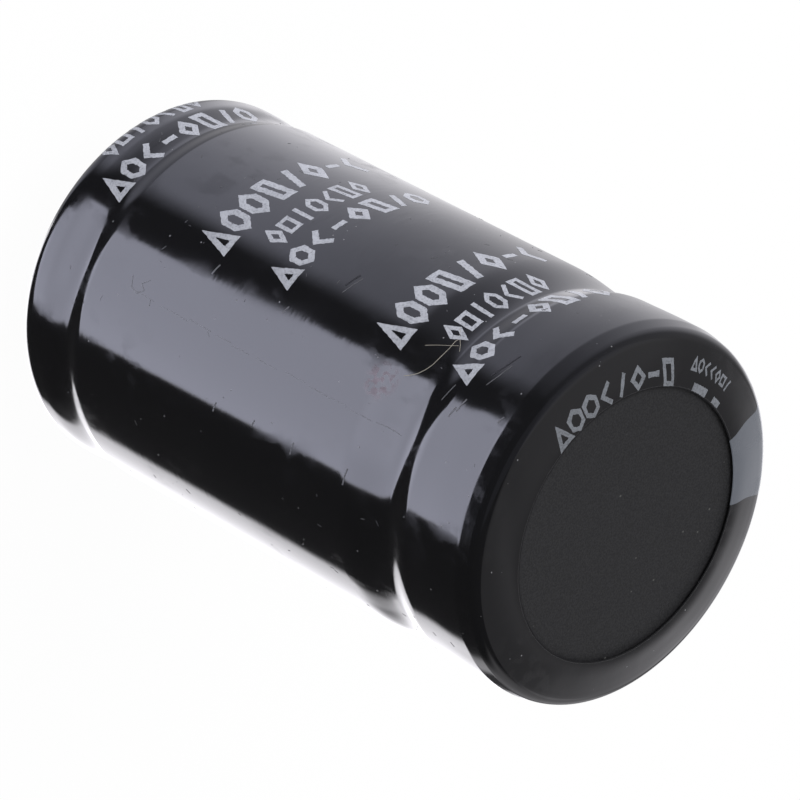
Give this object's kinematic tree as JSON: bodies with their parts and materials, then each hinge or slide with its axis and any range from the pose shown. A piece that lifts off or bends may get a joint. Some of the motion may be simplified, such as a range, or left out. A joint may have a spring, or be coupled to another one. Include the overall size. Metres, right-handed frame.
{
  "type": "supercapacitor",
  "caption": "Cylindrical snap-in supercapacitor cell with two rolled beads, a black film sleeve folded over a fibre disc, and kinked strip terminals.",
  "frame": {"origin": "midway between the two terminals, in the plane where the sleeve sits on the circuit board", "axes": "+Z from the board towards the closed base of the can; +X through the positive terminal, -X through the negative terminal and the polarity stripe"},
  "size_m": [0.0353, 0.0352, 0.068],
  "materials": {
    "sleeve_film": "glossy black heat-shrunk film with pale grey polarity stripe and print",
    "fibre_disc": "matte black fibre sheet",
    "can_aluminium": "satin drawn aluminium",
    "seal_rubber": "matte black rubber facing",
    "board_laminate": "brown phenolic laminate",
    "vent_rubber": "pale soft rubber",
    "terminal_tin": "satin tin plate",
    "rivet_aluminium": "headed aluminium",
    "tab_foil": "bright foil",
    "insulator_plastic": "natural polypropylene",
    "element_carbon": "carbon-coated foil with paper separator",
    "tape_film": "amber adhesive tape"
  },
  "bodies": {
    "root": {"sleeve": "sleeve_film", "base_disc": "fibre_disc", "can": "can_aluminium", "rubber_seal": "seal_rubber", "terminal_board": "board_laminate", "vent_plug": "vent_rubber", "positive_terminal": "terminal_tin", "negative_terminal": "terminal_tin", "positive_rivet": "rivet_aluminium", "negative_rivet": "rivet_aluminium", "positive_washer": "rivet_aluminium", "negative_washer": "rivet_aluminium", "positive_inner_tab": "tab_foil", "positive_outer_tab": "tab_foil", "negative_inner_tab": "tab_foil", "negative_outer_tab": "tab_foil", "tab_insulator": "insulator_plastic", "base_pad": "insulator_plastic", "wound_element": "element_carbon", "element_tape": "tape_film"}
  },
  "joints": []
}
